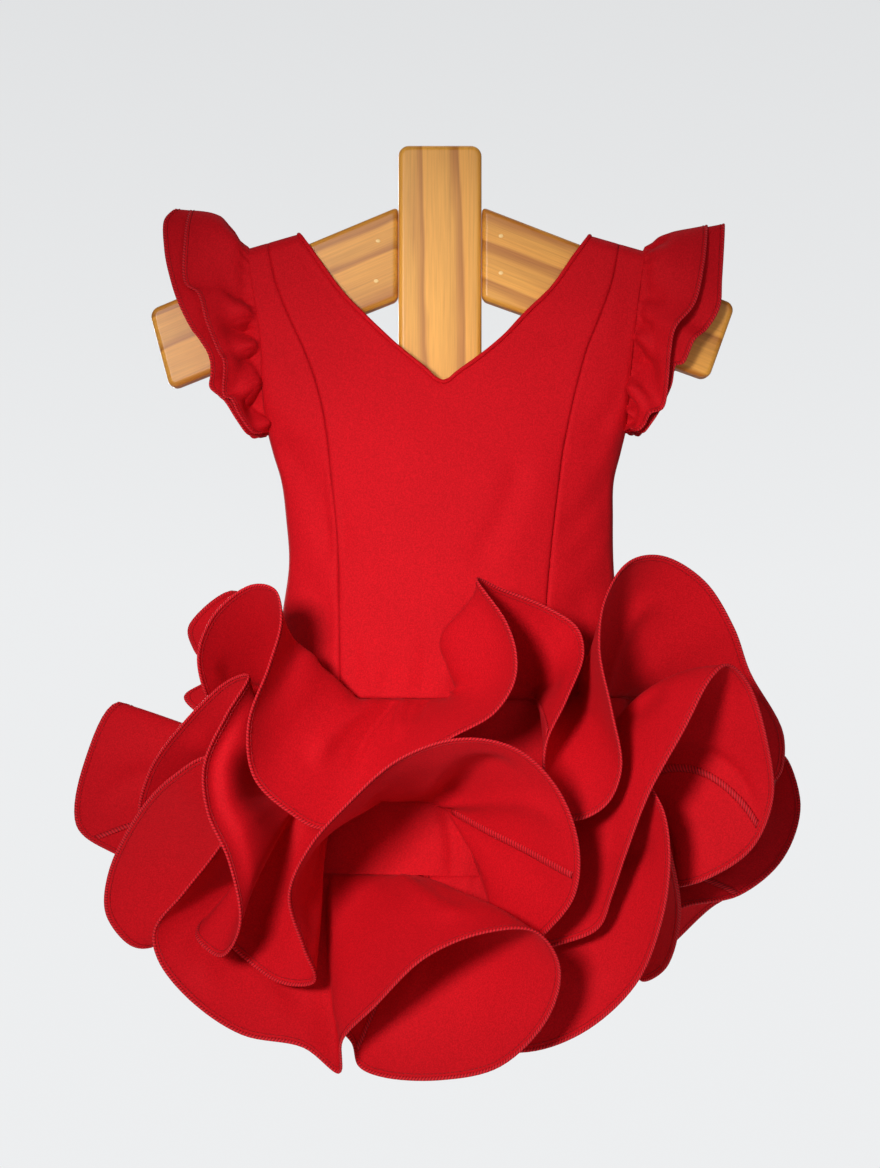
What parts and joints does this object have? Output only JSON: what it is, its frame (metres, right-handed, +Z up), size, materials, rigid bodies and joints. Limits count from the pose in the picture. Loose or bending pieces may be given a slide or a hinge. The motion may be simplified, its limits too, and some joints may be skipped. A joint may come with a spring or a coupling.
{
  "type": "flamenco dress on a wooden hanger",
  "caption": "Child's red flamenco dress with tiered circular flounces, ruffled sleeves and a V neck, hanging on a varnished wooden hanger.",
  "frame": {"origin": "middle of the wall-bracket seat on the back face of the hanger's post", "axes": "+Y is the normal of the post's back face, towards the wall; +Z up; +X to the right as the dress is looked at from the front, which faces -Y"},
  "size_m": [0.5583, 0.3873, 0.6797],
  "materials": {
    "crepe": "matt red stretch crepe",
    "binding": "rolled binding of the same cloth",
    "pine": "honey pine under satin varnish"
  },
  "bodies": {
    "root": {"back_left": "crepe", "back_right": "crepe", "flounce_bottom": "crepe", "flounce_middle": "crepe", "flounce_top": "crepe", "front_centre": "crepe", "front_side_left": "crepe", "front_side_right": "crepe", "hanger_arm_left": "pine", "hanger_arm_right": "pine", "hanger_post": "pine", "neck_binding": "binding", "skirt_back": "crepe", "skirt_front": "crepe", "sleeve_under_left": "crepe", "sleeve_under_right": "crepe", "sleeve_upper_left": "crepe", "sleeve_upper_right": "crepe"}
  },
  "joints": []
}
